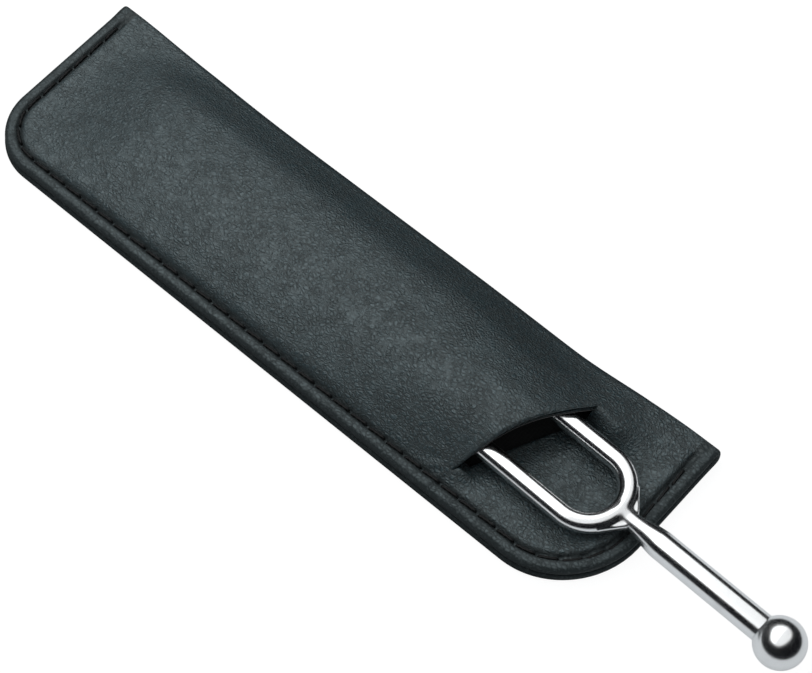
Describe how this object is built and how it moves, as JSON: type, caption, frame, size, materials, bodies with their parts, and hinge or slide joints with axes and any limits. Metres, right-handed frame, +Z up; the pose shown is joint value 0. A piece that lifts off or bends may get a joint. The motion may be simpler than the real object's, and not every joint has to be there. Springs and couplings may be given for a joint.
{
  "type": "tuning fork",
  "caption": "Round-prong tuning fork with a ball-ended stem, partly drawn out of the slanted mouth of a folded and sewn leatherette sleeve.",
  "frame": {"origin": "centre of the sleeve's flat underside, halfway along its length and width", "axes": "+X from the sleeve's closed end to its mouth end, +Y from its sewn long edge to its fold, +Z up"},
  "size_m": [0.1794, 0.04, 0.0123],
  "materials": {
    "leatherette": "fine pebble grain, satin",
    "lining": "matt woven cloth",
    "thread": "twisted, slightly waxed",
    "chromed_steel": "bright plated, polished"
  },
  "bodies": {
    "sleeve": {"back_cover": "leatherette", "back_hem": "leatherette", "back_lining": "lining", "front_hem": "leatherette", "front_lining": "lining", "front_cover": "leatherette", "fold_spine": "leatherette", "needle_thread": "thread", "bobbin_thread": "thread"},
    "fork": {"yoke": "chromed_steel", "stem": "chromed_steel", "ball_foot": "chromed_steel"},
    "prong_left": {"prong_left": "chromed_steel"},
    "prong_right": {"prong_right": "chromed_steel"}
  },
  "joints": [
    {"name": "fork_slide", "type": "slide", "parent": "sleeve", "child": "fork", "axis": [0.9987, -0.0419, 0.0293], "range_m": [-0.025, 0.072]},
    {"name": "prong_left_flex", "type": "hinge", "parent": "fork", "child": "prong_left", "pos_m": [0.06025, 0.00524, 0.00647], "axis": [-0.0292, 0.0012, 0.9996], "range_deg": [-0.25, 0.25], "stiffness_Nm_per_rad": 0.6},
    {"name": "prong_right_flex", "type": "hinge", "parent": "fork", "child": "prong_right", "pos_m": [0.05966, -0.00875, 0.00647], "axis": [-0.0292, 0.0012, 0.9996], "range_deg": [-0.25, 0.25], "stiffness_Nm_per_rad": 0.6}
  ],
  "couplings": [
    {"joint": "prong_right_flex", "follows": "prong_left_flex", "ratio": -1}
  ]
}
